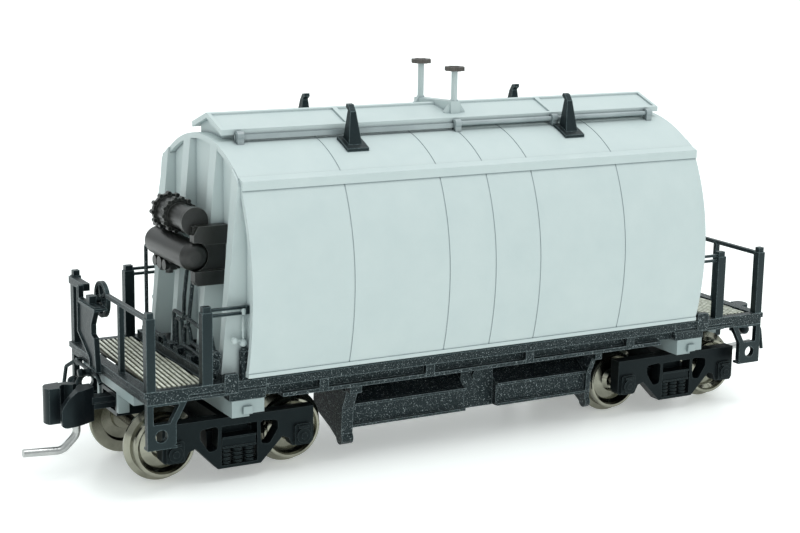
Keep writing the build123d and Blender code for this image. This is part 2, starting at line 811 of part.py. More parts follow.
def make_side_rail(end, side):
    """Inner post and the double hand rail that runs from it to the body."""
    post_y = FRAME_HALF - 0.36
    rail_from = BODY_HALF_LENGTH - END_RECESS
    with BuildPart() as side_rail:
        add(post_block(INNER_POST_X, post_y, POST_TOP_Z, 0.85, 0.72))
        for z in (14.0, 14.45):
            with BuildSketch(Plane.YZ.offset(rail_from)):
                with Locations((post_y, z)):
                    Rectangle(0.26, 0.22)
            extrude(amount=INNER_POST_X - rail_from)
        with BuildSketch(Plane.YZ.offset(rail_from)):
            with Locations((post_y, 14.22)):
                Rectangle(0.3, 0.68)
        extrude(amount=0.3)
    return placed(side_rail.part, end=end, side=side)


# ---------------------------------------------------------------- brake gear
BRAKE_WHEEL = (HALF_LENGTH - 0.62, 2.6, 13.5)


def make_brake_stand():
    """Brake stand: far corner post, its arm, and the curved stand with a small shelf."""
    stand_x = HALF_LENGTH + 0.22
    with BuildPart() as brake_stand:
        add(post_block(CORNER_POST[0], CORNER_POST[1], POST_TOP_Z))
        # arm from the post to the stand
        with BuildSketch(Plane.XZ.offset(-CORNER_POST[1])):
            with Locations((CORNER_POST[0] + 0.3, 14.05)):
                Rectangle(0.62, 0.6)
        extrude(amount=CORNER_POST[1] - 4.85)
        # stand, which sweeps in towards the coupler at its foot, with a raised rim
        with BuildSketch(Plane.YZ.offset(stand_x)) as outline:
            with BuildLine():
                Polyline(
                    (0.7, 13.3),
                    (4.7, 13.3),
                    (4.7, 14.3),
                    (5.15, 14.3),
                    (5.2, 10.4),
                    (3.3, 9.25),
                    (2.5, 8.75),
                    (2.4, 7.95),
                    (0.75, 7.95),
                    (0.95, 9.4),
                    (1.15, 10.7),
                    (1.75, 10.9),
                    (1.75, 11.7),
                    (1.45, 12.2),
                    close=True,
                )
            make_face()
        extrude(amount=0.3)
        with BuildSketch(Plane.YZ.offset(stand_x + 0.3)):
            add(outline.sketch_local)
            offset(outline.sketch_local, amount=-0.16, mode=Mode.SUBTRACT)
        extrude(amount=0.14)
        # small shelf in front of the wheel, and the bearing that carries its shaft
        with BuildSketch(Plane.XY.offset(13.02)):
            with Locations((stand_x + 0.05, 2.45)):
                Rectangle(1.1, 3.9)
        extrude(amount=0.2)
        with BuildSketch(Plane.YZ.offset(stand_x - 0.2)):
            with Locations((BRAKE_WHEEL[1], BRAKE_WHEEL[2])):
                Rectangle(0.8, 0.8)
        extrude(amount=0.6)
    return placed(brake_stand.part, end=-1)


def make_brake_wheel():
    """Spoked brake wheel on the platform side of the stand."""
    x, y, z = BRAKE_WHEEL
    rim_r = 1.48
    with BuildPart() as brake_wheel:
        with BuildSketch(Plane.YZ.offset(x - 0.18)):
            with Locations((y, z)):
                Circle(rim_r)
                Circle(rim_r - 0.3, mode=Mode.SUBTRACT)
                Circle(0.36)
                with PolarLocations(rim_r / 2, 5):
                    Rectangle(rim_r, 0.22)
        extrude(amount=0.36)
        with BuildSketch(Plane.YZ.offset(x - 0.18)):
            with Locations((y, z)):
                Circle(0.24)
        extrude(amount=HALF_LENGTH + 0.02 - x + 0.18)
    return placed(brake_wheel.part, end=-1)


CYLINDER_X = 23.85
CYLINDER_Z = 20.45
RESERVOIR_X = 24.1
RESERVOIR_Z = 17.75
RESERVOIR_R = 1.17
BRACKET_Y = 3.52
BRACKET_THICKNESS = 0.42


def ring_of_bolts(x, z, y, radius, count, bolt_r, length):
    """Bolts round a flange whose axis is along Y."""
    with BuildPart() as bolts:
        with BuildSketch(Plane.XZ.offset(-y)):
            with Locations((x, z)):
                with PolarLocations(radius, count):
                    Circle(bolt_r)
        extrude(amount=length, both=True)
    return bolts.part


def make_brake_cylinder():
    """Brake cylinder, axis across the wagon, with two bolted flanges and a domed far head."""
    runs = (
        (-BRACKET_Y, -BRACKET_Y + 0.5, 1.15),
        (-BRACKET_Y + 0.5, -0.3, 1.0),
        (-0.3, 0.05, 1.36),
        (0.05, 1.75, 1.2),
        (1.75, 2.1, 1.42),
        (2.1, 2.55, 1.1),
        (2.55, BRACKET_Y, 0.35),
    )
    with BuildPart() as brake_cylinder:
        for start, stop, radius in runs:
            with BuildSketch(Plane.XZ.offset(-start)):
                with Locations((-CYLINDER_X, CYLINDER_Z)):
                    Circle(radius)
            extrude(amount=start - stop)
        add(ring_of_bolts(-CYLINDER_X, CYLINDER_Z, -0.125, 1.34, 14, 0.17, 0.24))
        add(ring_of_bolts(-CYLINDER_X, CYLINDER_Z, 1.925, 1.4, 12, 0.19, 0.24))
    return brake_cylinder.part


def make_air_reservoir():
    """Air reservoir: a tube with domed ends, lower and further out than the cylinder."""
    dome_y = 4.3
    with BuildPart() as air_reservoir:
        with BuildSketch(Plane.XY.offset(RESERVOIR_Z)):
            with BuildLine():
                Line((-RESERVOIR_X, -dome_y), (-RESERVOIR_X, dome_y))
                Line((-RESERVOIR_X, dome_y), (-RESERVOIR_X + 0.45, dome_y))
                ThreePointArc(
                    (-RESERVOIR_X + 0.45, dome_y),
                    (-RESERVOIR_X + 0.95, dome_y - 0.2),
                    (-RESERVOIR_X + RESERVOIR_R, dome_y - 0.6),
                )
                Line(
                    (-RESERVOIR_X + RESERVOIR_R, dome_y - 0.6),
                    (-RESERVOIR_X + RESERVOIR_R, -dome_y + 0.6),
                )
                ThreePointArc(
                    (-RESERVOIR_X + RESERVOIR_R, -dome_y + 0.6),
                    (-RESERVOIR_X + 0.95, -dome_y + 0.2),
                    (-RESERVOIR_X + 0.45, -dome_y),
                )
                Line((-RESERVOIR_X + 0.45, -dome_y), (-RESERVOIR_X, -dome_y))
            make_face()
        revolve(axis=Axis((-RESERVOIR_X, 0, RESERVOIR_Z), (0, 1, 0)))
    return air_reservoir.part


def make_tank_brackets():
    """Two side brackets, each a web with thicker arms above and below the reservoir."""
    panel_x = BODY_HALF_LENGTH - END_RECESS
    arm_thickness = BRACKET_THICKNESS + 0.4
    with BuildPart() as tank_brackets:
        with BuildSketch(Plane.XZ.offset(BRACKET_Y)):
            with BuildLine():
                Polyline(
                    (-panel_x, 15.5),
                    (-24.15, 15.5),
                    (-24.3, 16.7),
                    (-24.3, 18.6),
                    (-24.2, 20.15),
                    (-panel_x, 20.15),
                    close=True,
                )
            make_face()
        extrude(amount=BRACKET_THICKNESS)
        with BuildSketch(Plane.XZ.offset(BRACKET_Y)):
            with BuildLine():
                Polyline(
                    (-panel_x, 18.7),
                    (-24.3, 18.7),
                    (-24.3, 19.5),
                    (-23.9, 20.2),
                    (-panel_x, 20.2),
                    close=True,
                )
            make_face()
            with BuildLine():
                Polyline(
                    (-panel_x, 15.45),
                    (-24.0, 15.45),
                    (-24.25, 15.8),
                    (-24.25, 16.6),
                    (-panel_x, 16.6),
                    close=True,
                )
            make_face()
            fillet(vertices().group_by(Axis.X)[0], 0.12)
        extrude(amount=arm_thickness)
        # saddle for the reservoir
        with BuildSketch(Plane.XZ.offset(BRACKET_Y - 0.5)):
            with Locations((-RESERVOIR_X, RESERVOIR_Z)):
                Circle(RESERVOIR_R)
        extrude(amount=arm_thickness + 1, mode=Mode.SUBTRACT)
        mirror(about=Plane.XZ)
    return tank_brackets.part


def make_control_valve():
    """Control valve slung under the reservoir: three rounded bodies and two pipe nuts."""
    valve_top_z = RESERVOIR_Z - RESERVOIR_R
    with BuildPart() as control_valve:
        with BuildSketch(Plane.XY.offset(valve_top_z - 0.75)):
            with Locations((-RESERVOIR_X, 1.95)):
                RectangleRounded(0.9, 2.9, 0.3)
        extrude(amount=0.8)
        for y, radius in ((0.9, 0.42), (1.95, 0.5), (3.0, 0.42)):
            with BuildSketch(Plane.YZ.offset(-RESERVOIR_X - 0.65)):
                with Locations((y, valve_top_z - 0.35)):
                    Circle(radius)
            extrude(amount=1.3)
        with BuildSketch(Plane.XY.offset(valve_top_z - 1.1)):
            with Locations((-RESERVOIR_X, 1.3), (-RESERVOIR_X, 2.5)):
                RegularPolygon(0.34, 6)
        extrude(amount=0.4)
        with BuildSketch(Plane.XY.offset(valve_top_z)):
            with Locations((-RESERVOIR_X, 1.95)):
                Rectangle(0.8, 1.8)
        extrude(amount=0.5)
        with BuildSketch(Plane.XZ.offset(0.5)):
            with Locations((-RESERVOIR_X, RESERVOIR_Z)):
                Circle(RESERVOIR_R)
        extrude(amount=-5, mode=Mode.SUBTRACT)
    return control_valve.part


def rod(points, radius, bend_r=0.3):
    """A bent rod of round bar through the points."""
    with BuildPart() as bent_rod:
        with BuildLine() as path:
            FilletPolyline(*points, radius=bend_r)
        with BuildSketch(Plane(origin=path.line @ 0, z_dir=path.line % 0)):
            Circle(radius)
        sweep(path=path.line)
    return bent_rod.part


def make_brake_rigging():
    """Pipes, rods and levers between the reservoir and the deck, with their tray and valves."""
    pipe_r = 0.16
    runs = (
        # air pipe down the far side, from the reservoir's end
        ((-24.1, 4.2, 17.9), (-24.1, 5.1, 17.9), (-24.5, 5.5, 16.9), (-24.5, 5.5, DECK_Z - 0.1)),
        # high loop that crosses to the near side and drops to the hand valve
        ((-23.75, 1.3, 9.0), (-23.75, 1.3, 12.3), (-23.75, -1.2, 12.3), (-23.8, -6.5, 11.9), (-23.8, -7.4, 10.0)),
        # lower loops on the levers
        ((-23.75, 0.75, 9.0), (-23.75, 0.75, 11.8), (-23.75, -0.35, 11.8), (-23.75, -0.75, 9.9), (-24.1, -6.3, 9.9)),
        ((-23.7, -0.6, 9.0), (-23.7, -0.9, 11.5), (-23.7, -1.8, 11.5), (-23.7, -2.2, 10.4), (-23.95, -7.2, 10.4)),
        # pipe along the tray, turned down at its near end
        ((-24.45, 4.7, 9.2), (-24.45, 4.7, 10.0), (-24.45, 1.7, 10.0), (-24.45, 1.4, 8.9)),
        # push rods from under the reservoir
        ((-24.2, -2.7, 16.7), (-24.15, -1.9, 14.2), (-23.8, -0.9, 12.0)),
        ((-23.75, -3.0, 16.8), (-23.75, -2.4, 14.2), (-23.7, -1.5, 11.4)),
    )
    with BuildPart() as brake_rigging:
        for points in runs:
            add(rod(points, pipe_r, 0.25))
        # tray for the pipes, hollowed along its top
        with BuildSketch(Plane.XY.offset(DECK_Z)):
            with Locations((-24.1, 0.2)):
                Rectangle(1.1, 14.4)
        extrude(amount=0.7)
        with BuildSketch(Plane.XY.offset(DECK_Z + 0.7)):
            with Locations((-24.1, 0.2)):
                Rectangle(0.75, 14.0)
        extrude(amount=-0.4, mode=Mode.SUBTRACT)
        with BuildSketch(Plane.XY.offset(DECK_Z + 0.3)):
            with Locations((-24.1, 1.0), (-24.1, -0.6), (-24.1, -3.4), (-24.1, 3.6)):
                Rectangle(0.7, 0.9)
        extrude(amount=0.75)
        # hand valve and its nuts at the near side
        with BuildSketch(Plane.XZ.offset(6.6)):
            with Locations((-24.1, 9.9)):
                Circle(0.5)
        extrude(amount=1.2)
        with BuildSketch(Plane.XZ.offset(7.0)):
            with Locations((-24.0, 9.4), (-23.8, 10.6)):
                RegularPolygon(0.38, 6)
        extrude(amount=0.6)
        with BuildSketch(Plane.XY.offset(DECK_Z)):
            with Locations((-23.95, -7.1)):
                Circle(0.3)
        extrude(amount=1.2)
        # upright dirt trap beside the end panel
        with BuildSketch(Plane.XY.offset(DECK_Z)):
            with Locations((-21.82, -8.24)):
                Circle(0.38)
        extrude(amount=2.3)
        with BuildSketch(Plane.XY.offset(DECK_Z + 2.3)):
            with Locations((-21.82, -8.24)):
                Circle(0.25)
        extrude(amount=0.2)
        add(make_bulkhead().mirror(Plane.YZ), mode=Mode.SUBTRACT)
        # the air pipe's foot and its joint with the reservoir
        with BuildSketch(Plane.XY.offset(DECK_Z)):
            with Locations((-24.3, 5.5)):
                Rectangle(1.4, 1.4)
        extrude(amount=-0.3, mode=Mode.SUBTRACT)
        add(make_air_reservoir(), mode=Mode.SUBTRACT)
    return brake_rigging.part


# ---------------------------------------------------------------- couplers
def make_cut_lever(end, side):
    """Uncoupling lever: a rod along the end beam with a drop handle at the corner."""
    lever_x = HALF_LENGTH + 0.22 + 0.16
    lever_z = DECK_Z - 1.12
    with BuildPart() as cut_lever:
        handle = (
            (lever_x, 0.6, lever_z - 0.5),
            (lever_x, 1.3, lever_z),
            (lever_x, 6.6, lever_z),
            (lever_x + 0.5, 7.6, lever_z - 0.7),
            (lever_x + 0.75, 7.7, lever_z - 2.6),
        )
        add(rod(handle, 0.16))
        for y in (2.4, 6.2):
            with BuildSketch(Plane.YZ.offset(HALF_LENGTH)):
                with Locations((y, lever_z)):
                    Rectangle(0.5, 0.55)
            extrude(amount=0.46)
    return placed(cut_lever.part, end=end, side=side)


def make_draft_box(end):
    """Draft gear box under the centre sill, open in front, with the coupler's pivot post."""
    back_x = 26.35
    front_x = HALF_LENGTH - 0.1
    half_width = 1.75
    wall = 0.32
    with BuildPart() as draft_box:
        with BuildSketch(Plane.XY.offset(DRAFT_BOX_BOTTOM_Z)):
            with Locations(((back_x + front_x) / 2, 0)):
                Rectangle(front_x - back_x, 2 * half_width)
        extrude(amount=DRAFT_BOX_TOP_Z - DRAFT_BOX_BOTTOM_Z)
        with BuildSketch(Plane.XY.offset(DRAFT_BOX_BOTTOM_Z + wall)):
            with Locations(((back_x + wall + front_x + 1) / 2, 0)):
                Rectangle(front_x + 1 - back_x - wall, 2 * (half_width - wall))
        extrude(amount=DRAFT_BOX_TOP_Z - DRAFT_BOX_BOTTOM_Z - 2 * wall, mode=Mode.SUBTRACT)
        with BuildSketch(Plane.XY.offset(DRAFT_BOX_BOTTOM_Z)):
            with Locations((PIVOT_X, 0)):
                Circle(0.5)
        extrude(amount=DRAFT_BOX_TOP_Z - DRAFT_BOX_BOTTOM_Z)
    return placed(draft_box.part, end=end)


def shank(bottom_z, top_z, reach_x):
    """One half of the split shank, with its ring round the pivot."""
    with BuildPart() as half_shank:
        with BuildSketch(Plane.XY.offset(bottom_z)):
            with Locations((PIVOT_X, 0)):
                Circle(1.1)
            with Locations(((PIVOT_X + reach_x) / 2, 0)):
                Rectangle(reach_x - PIVOT_X, 1.1)
            with Locations((PIVOT_X, 0)):
                Circle(0.5 + RUNNING_GAP, mode=Mode.SUBTRACT)
        extrude(amount=top_z - bottom_z)
    return half_shank.part


def make_coupler(end):
    """Lower coupler half: shank, guard arm and the head's back."""
    with BuildPart() as coupler:
        add(shank(SHANK_BOTTOM_Z, SHANK_SPLIT_Z - 0.03, 32.0))
        with BuildSketch(Plane.XY.offset(HEAD_BOTTOM_Z)):
            with BuildLine():
                Line((31.35, -0.55), (31.35, 0.55))
                Line((31.35, 0.55), (32.3, 1.15))
                ThreePointArc((32.3, 1.15), (33.5, 1.6), (34.35, 1.68))
                Line((34.35, 1.68), (34.25, 1.1))
                ThreePointArc((34.25, 1.1), (33.1, 0.75), (32.6, -0.05))
                Line((32.6, -0.05), (32.2, -0.55))
                Line((32.2, -0.55), (31.35, -0.55))
            make_face()
        extrude(amount=HEAD_TOP_Z - 0.15 - HEAD_BOTTOM_Z)
        # the guard arm is rounded off towards its tip, as seen from the side
        with BuildSketch(Plane.XZ.offset(-3)):
            with BuildLine():
                Line((31.0, HEAD_BOTTOM_Z - 0.1), (31.0, HEAD_TOP_Z))
                Line((31.0, HEAD_TOP_Z), (32.4, HEAD_TOP_Z))
                ThreePointArc((32.4, HEAD_TOP_Z), (33.75, 6.75), (34.4, 5.75))
                Line((34.4, 5.75), (34.4, 4.75))
                ThreePointArc((34.4, 4.75), (34.2, 4.55), (33.9, HEAD_BOTTOM_Z))
                Line((33.9, HEAD_BOTTOM_Z), (33.9, HEAD_BOTTOM_Z - 0.1))
                Line((33.9, HEAD_BOTTOM_Z - 0.1), (31.0, HEAD_BOTTOM_Z - 0.1))
            make_face()
        extrude(amount=6, mode=Mode.INTERSECT)
        add(shank(SHANK_BOTTOM_Z, SHANK_SPLIT_Z - 0.03, 32.0))
        # room for the knuckle's half of the shank
        with BuildSketch(Plane.XY.offset(SHANK_SPLIT_Z - 0.03)):
            with Locations((31.7, -0.1)):
                Rectangle(2.0, 1.5)
        extrude(amount=SHANK_TOP_Z + 0.06 - SHANK_SPLIT_Z + 0.03, mode=Mode.SUBTRACT)
    part = coupler.part
    return part if end > 0 else part.rotate(Axis.Z, 180)


def make_knuckle(end):
    """Upper coupler half: its shank, a back arm and the hooked knuckle block."""
    knuckle_bottom_z = HEAD_BOTTOM_Z + 0.05
    with BuildPart() as knuckle:
        add(shank(SHANK_SPLIT_Z + 0.03, SHANK_TOP_Z, 32.35))
        # back arm that curves from the shank round to the knuckle
        with BuildSketch(Plane.XY.offset(SHANK_SPLIT_Z + 0.03)):
            with BuildLine():
                Polyline(
                    (31.6, -0.55),
                    (32.3, -0.25),
                    (32.85, -0.35),
                    (33.3, -0.8),
                    (33.6, -1.3),
                    (32.6, -1.3),
                    close=True,
                )
            make_face()
        extrude(amount=SHANK_TOP_Z - SHANK_SPLIT_Z - 0.03)
        with BuildSketch(Plane.XY.offset(5.3)):
            with BuildLine():
                Polyline(
                    (32.35, -0.68),
                    (32.75, -0.4),
                    (33.3, -0.75),
                    (33.9, -0.75),
                    (33.9, -1.4),
                    (32.9, -1.45),
                    close=True,
                )
            make_face()
        extrude(amount=HEAD_TOP_Z - 0.05 - 5.3)
        with BuildSketch(Plane.XY.offset(knuckle_bottom_z)):
            with BuildLine():
                Line((33.65, -1.45), (33.65, -0.5))
                Line((33.65, -0.5), (34.0, -0.05))
                Line((34.0, -0.05), (34.0, 0.3))
                Line((34.0, 0.3), (34.9, 0.3))
                ThreePointArc((34.9, 0.3), (35.15, -0.5), (34.75, -1.3))
                Line((34.75, -1.3), (33.65, -1.45))
            make_face()
        extrude(amount=HEAD_TOP_Z - knuckle_bottom_z)
    part = knuckle.part
    return part if end > 0 else part.rotate(Axis.Z, 180)


def make_trip_pin(end):
    """Bent steel wire that hangs from the guard arm and runs forward near rail level."""
    wire_r = 0.32
    wire_y = 1.05
    runs = (
        (33.0, wire_y, HEAD_BOTTOM_Z),
        (33.0, wire_y, 3.7),
        (34.2, wire_y, 2.55),
        (37.35, wire_y, 2.75),
    )
    part = rod(runs, wire_r, 1.0)
    return part if end > 0 else part.rotate(Axis.Z, 180)


# ---------------------------------------------------------------- trucks
def make_truck_frame(centre_x):
    """Truck frame: two cast side frames with coil springs, joined by the bolster."""
    half_base = WHEELBASE / 2
    with BuildPart() as truck_frame:
        for side in (1, -1):
            out = -side
            with BuildSketch(Plane.XZ.offset(out * SIDEFRAME_IN_Y)):
                with BuildLine():
                    Polyline(
                        (centre_x - 6.5, 5.35),
                        (centre_x + 6.5, 5.35),
                        (centre_x + 6.5, 2.5),
                        (centre_x + 6.3, 2.25),
                        (centre_x + 4.65, 2.25),
                        (centre_x + 4.3, 2.95),
                        (centre_x + 3.75, 3.15),
                        (centre_x + 1.85, 1.2),
                        (centre_x - 1.85, 1.2),
                        (centre_x - 3.75, 3.15),
                        (centre_x - 4.3, 2.95),
                        (centre_x - 4.65, 2.25),
                        (centre_x - 6.3, 2.25),
                        (centre_x - 6.5, 2.5),
                        close=True,
                    )
                make_face()
                # rounded triangular windows beside the bolster, and the spring window
                for hand in (1, -1):
                    with BuildLine():
                        FilletPolyline(
                            (centre_x + hand * 1.78, 4.75),
                            (centre_x + hand * 3.35, 4.6),
                            (centre_x + hand * 3.35, 3.85),
                            (centre_x + hand * 2.6, 2.7),
                            (centre_x + hand * 1.9, 2.8),
                            radius=0.3,
                            close=True,
                        )
                    make_face(mode=Mode.SUBTRACT)
                with Locations((centre_x, 3.02)):
                    Rectangle(3.1, 3.3, mode=Mode.SUBTRACT)
            extrude(amount=out * (SIDEFRAME_OUT_Y - SIDEFRAME_IN_Y))
            # spring nest: three coils on the lower chord
            spring_y = (SIDEFRAME_IN_Y + SIDEFRAME_OUT_Y) / 2
            with BuildSketch(Plane.XY.offset(1.2)):
                with Locations((centre_x, side * spring_y)):
                    Rectangle(3.3, SIDEFRAME_OUT_Y - SIDEFRAME_IN_Y)
            extrude(amount=0.25)
            for dx in (-1.02, 0.0, 1.02):
                with BuildSketch(Plane.XY.offset(1.4)):
                    with Locations((centre_x + dx, side * spring_y)):
                        Circle(0.34)
                extrude(amount=1.5)
                for turn in range(4):
                    with BuildSketch(Plane.XY.offset(1.5 + 0.33 * turn)):
                        with Locations((centre_x + dx, side * spring_y)):
                            Circle(0.49)
                    extrude(amount=0.19)
            # journal boxes with their lids
            for hand in (1, -1):
                journal_x = centre_x + hand * half_base
                with BuildSketch(Plane.XZ.offset(out * SIDEFRAME_OUT_Y)):
                    with Locations((journal_x, AXLE_Z + 0.1)):
                        RectangleRounded(1.5, 1.75, 0.25)
                extrude(amount=out * 0.22)
                with BuildSketch(Plane.XZ.offset(out * (SIDEFRAME_OUT_Y + 0.22))):
                    with Locations((journal_x, AXLE_Z)):
                        Circle(0.6)
                    with Locations((journal_x, AXLE_Z + 0.72)):
                        Rectangle(0.9, 0.2)
                extrude(amount=out * 0.18)
                with BuildSketch(Plane.XZ.offset(out * (SIDEFRAME_OUT_Y + 0.4))):
                    with Locations((journal_x, AXLE_Z)):
                        Circle(0.28)
                extrude(amount=out * 0.08)
                # bearing for the axle's end
                with BuildSketch(Plane.XZ.offset(out * SIDEFRAME_IN_Y)):
                    with Locations((journal_x, AXLE_Z)):
                        Circle(JOURNAL_R + RUNNING_GAP)
                extrude(amount=out * (JOURNAL_TIP_Y + 0.1 - SIDEFRAME_IN_Y), mode=Mode.SUBTRACT)
        # bolster, its ends in the spring windows and the centre bowl
        with BuildSketch(Plane.XY.offset(3.3)):
            with Locations((centre_x, 0)):
                Rectangle(2.6, 2 * SIDEFRAME_IN_Y)
        extrude(amount=1.9)
        # brake beams on either side of the bolster
        with BuildSketch(Plane.XY.offset(2.3)):
            with Locations((centre_x, 0)):
                Rectangle(4.3, 11)
                Circle(1.4, mode=Mode.SUBTRACT)
        extrude(amount=1.6)
        end_y = (SIDEFRAME_OUT_Y + 4.9) / 2
        end_depth = SIDEFRAME_OUT_Y - 4.9
        with BuildSketch(Plane.XY.offset(2.8)):
            with Locations((centre_x, end_y - 0.1), (centre_x, 0.1 - end_y)):
                Rectangle(2.9, end_depth)
        extrude(amount=0.95)
        with BuildSketch(Plane.XY.offset(2.8)):
            with Locations((centre_x, end_y), (centre_x, -end_y)):
                Rectangle(2.9, end_depth)
        extrude(amount=0.16)
        with BuildSketch(Plane.XY.offset(3.59)):
            with Locations((centre_x, end_y), (centre_x, -end_y)):
                Rectangle(2.9, end_depth)
        extrude(amount=0.16)
        with BuildSketch(Plane.XY.offset(5.2)):
            with Locations((centre_x, 0)):
                Circle(1.8)
        extrude(amount=BOLSTER_BOTTOM_Z - 0.06 - 5.2)
        with BuildSketch(Plane.XY.offset(3.0)):
            with Locations((centre_x, 0)):
                Circle(KINGPIN_R + RUNNING_GAP)
        extrude(amount=3, mode=Mode.SUBTRACT)
    return truck_frame.part


def make_axle(x):
    """Axle with a cone-ended journal in each side frame."""
    with BuildPart() as axle:
        with BuildSketch(Plane.YZ.offset(x)):
            with BuildLine():
                Polyline(
                    (-JOURNAL_TIP_Y, AXLE_Z),
                    (-JOURNAL_TIP_Y, AXLE_Z + 0.12),
                    (-JOURNAL_TIP_Y + 0.2, AXLE_Z + JOURNAL_R),
                    (-WHEEL_FACE_Y - 0.15, AXLE_Z + JOURNAL_R),
                    (-WHEEL_FACE_Y, AXLE_Z + AXLE_R),
                    (WHEEL_FACE_Y, AXLE_Z + AXLE_R),
                    (WHEEL_FACE_Y + 0.15, AXLE_Z + JOURNAL_R),
                    (JOURNAL_TIP_Y - 0.2, AXLE_Z + JOURNAL_R),
                    (JOURNAL_TIP_Y, AXLE_Z + 0.12),
                    (JOURNAL_TIP_Y, AXLE_Z),
                    close=True,
                )
            make_face()
        revolve(axis=Axis((x, 0, AXLE_Z), (0, 1, 0)))
    return axle.part


def make_wheels(x):
    """Pair of flanged wheels for one axle, each turned from the section below."""
    with BuildPart() as wheels:
        with BuildSketch(Plane.YZ.offset(x)):
            with BuildLine():
                Polyline(
                    (WHEEL_BACK_Y + 0.1, AXLE_Z + AXLE_R),
                    (WHEEL_BACK_Y + 0.1, AXLE_Z + 1.0),
                    (WHEEL_BACK_Y + 0.45, AXLE_Z + 1.1),
                    (WHEEL_BACK_Y + 0.45, AXLE_Z + 1.95),
                    (WHEEL_BACK_Y, AXLE_Z + 2.1),
                    (WHEEL_BACK_Y, AXLE_Z + FLANGE_R - 0.12),
                    (WHEEL_BACK_Y + 0.12, AXLE_Z + FLANGE_R),
                    (WHEEL_BACK_Y + 0.3, AXLE_Z + FLANGE_R),
                    (WHEEL_BACK_Y + 0.52, AXLE_Z + TREAD_R + 0.05),
                    (WHEEL_FACE_Y - 0.08, AXLE_Z + TREAD_R),
                    (WHEEL_FACE_Y, AXLE_Z + TREAD_R - 0.08),
                    (WHEEL_FACE_Y, AXLE_Z + 2.28),
                    (WHEEL_FACE_Y - 0.3, AXLE_Z + 2.2),
                    (WHEEL_FACE_Y - 0.62, AXLE_Z + 1.9),
                    (WHEEL_FACE_Y - 0.42, AXLE_Z + 1.1),
                    (WHEEL_FACE_Y - 0.12, AXLE_Z + 0.8),
                    (WHEEL_FACE_Y - 0.12, AXLE_Z + AXLE_R),
                    close=True,
                )
            make_face()
        revolve(axis=Axis((x, 0, AXLE_Z), (0, 1, 0)))
        mirror(about=Plane.XZ)
    return wheels.part


def make_kingpins():
    """The two king pins that hold the trucks under the bolsters."""
    with BuildPart() as kingpins:
        for end in (1, -1):
            with BuildSketch(Plane.XY.offset(3.0)):
                with Locations((end * TRUCK_X, 0)):
                    Circle(KINGPIN_R)
            extrude(amount=BOLSTER_TOP_Z - 3.0)
            with BuildSketch(Plane.XY.offset(2.6)):
                with Locations((end * TRUCK_X, 0)):
                    Circle(1.25)
            extrude(amount=0.45)
    return kingpins.part


# ---------------------------------------------------------------- write every piece
ENDS = {"brake": -1, "plain": 1}
SIDES = {"near": -1, "far": 1}

save(make_tank_body(), "tank_body")
bulkhead = make_bulkhead()
for end_name, end in ENDS.items():
    save(placed(bulkhead, end=end), f"bulkhead_{end_name}")
save(make_floor_plate(), "floor_plate")
save(make_ballast_weight(), "ballast_weight")
hatch_cover = make_hatch_cover()
save(hatch_cover, "hatch_cover")
save(make_hatch_coaming(), "hatch_coaming")
latch_bar = make_latch_bar()
save(latch_bar, "latch_bar_near")
save(latch_bar.rotate(Axis.Z, 180), "latch_bar_far")
save(make_vent_stand(hatch_cover), "vent_stand")
with BuildPart() as vent_wheels:
    for post_x, post_y, post_top_z in VENT_POSTS:
        add(make_vent_wheel(post_x, post_y, post_top_z))
save(vent_wheels.part, "vent_wheels")
roof_hook = make_roof_hook()
with BuildPart() as roof_hooks:
    for end in ENDS.values():
        for side in SIDES.values():
            add(placed(roof_hook, end=end, side=side))
save(roof_hooks.part, "roof_hooks")

save(make_main_frame(), "main_frame")
save(make_hopper_bottom(), "hopper_bottom")
for side_name, side in SIDES.items():
    save(make_side_sill(side), f"side_sill_{side_name}")
    save(make_gates(side), f"gates_{side_name}")
for end_name, end in ENDS.items():
    save(make_platform(end), f"platform_{end_name}")
    save(make_tread_plate(end), f"tread_plate_{end_name}")
    for side_name, side in SIDES.items():
        save(make_step(end, side), f"step_{side_name}_{end_name}")
        save(make_side_rail(end, side), f"side_rail_{side_name}_{end_name}")

save(make_end_rail_plain(), "end_rail_plain")
save(make_end_rail_brake(), "end_rail_brake")
save(make_brake_stand(), "brake_stand")
save(make_brake_wheel(), "brake_wheel")
save(make_brake_cylinder(), "brake_cylinder")
save(make_air_reservoir(), "air_reservoir")
save(make_tank_brackets(), "tank_brackets")
save(make_control_valve(), "control_valve")
save(make_brake_rigging(), "brake_rigging")

for end_name, end in ENDS.items():
    # The lever's handle is at the corner on the left as one faces the wagon's end.
    save(make_cut_lever(end, -end), f"cut_lever_{end_name}")
    save(make_draft_box(end), f"draft_box_{end_name}")
    save(make_coupler(end), f"coupler_{end_name}")
    save(make_knuckle(end), f"knuckle_{end_name}")
    save(make_trip_pin(end), f"trip_pin_{end_name}")
    save(make_truck_frame(end * TRUCK_X), f"truck_frame_{end_name}")
    for place, offset_x in (("outer", end * WHEELBASE / 2), ("inner", -end * WHEELBASE / 2)):
        axle_x = end * TRUCK_X + offset_x
        save(make_axle(axle_x), f"axle_{end_name}_{place}")
        save(make_wheels(axle_x), f"wheels_{end_name}_{place}")
save(make_kingpins(), "kingpins")
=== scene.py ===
import json
import math

import bmesh
import bpy
from mathutils import Matrix, Vector


